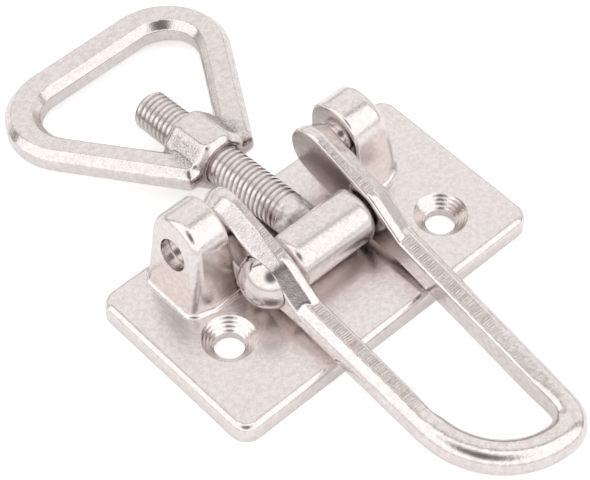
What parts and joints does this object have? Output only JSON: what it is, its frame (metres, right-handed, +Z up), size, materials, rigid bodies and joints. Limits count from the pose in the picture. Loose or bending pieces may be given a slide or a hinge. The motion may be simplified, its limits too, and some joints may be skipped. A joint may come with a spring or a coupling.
{
  "type": "adjustable toggle latch",
  "caption": "Over-centre toggle latch: a cast base with ears, a bent bar lever and a tee bolt that carries a screwed triangular draw loop.",
  "frame": {"origin": "on the base's underside, midway between the ears", "axes": "+X along the pivots, +Y from the handle to the draw loop, +Z up from the mounting surface"},
  "size_m": [0.09, 0.1619, 0.028],
  "materials": {
    "base": "zinc-plated casting, satin",
    "handle": "zinc-plated forging, satin",
    "rivet": "zinc-plated, bright",
    "tee_bolt": "zinc-plated forging, rolled thread",
    "loop": "zinc-plated forging, satin"
  },
  "bodies": {
    "base": {"base": "base"},
    "handle": {"handle": "handle", "rivet": "rivet"},
    "tee_bolt": {"tee_bolt": "tee_bolt"},
    "loop": {"loop": "loop"}
  },
  "joints": [
    {"name": "handle_pivot", "type": "hinge", "parent": "base", "child": "handle", "pos_m": [0, 0.0144, 0.0188], "axis": [-1, 0, 0], "range_deg": [0, 140]},
    {"name": "bolt_swing", "type": "hinge", "parent": "handle", "child": "tee_bolt", "pos_m": [0, -0.002, 0.0137], "axis": [1, 0, 0], "range_deg": [0, 140]},
    {"name": "loop_turn", "type": "hinge", "parent": "tee_bolt", "child": "loop", "pos_m": [0, -0.002, 0.0137], "axis": [0, 0.9934, -0.1144], "continuous": true}
  ],
  "couplings": [
    {"joint": "bolt_swing", "follows": "handle_pivot", "ratio": 1}
  ]
}
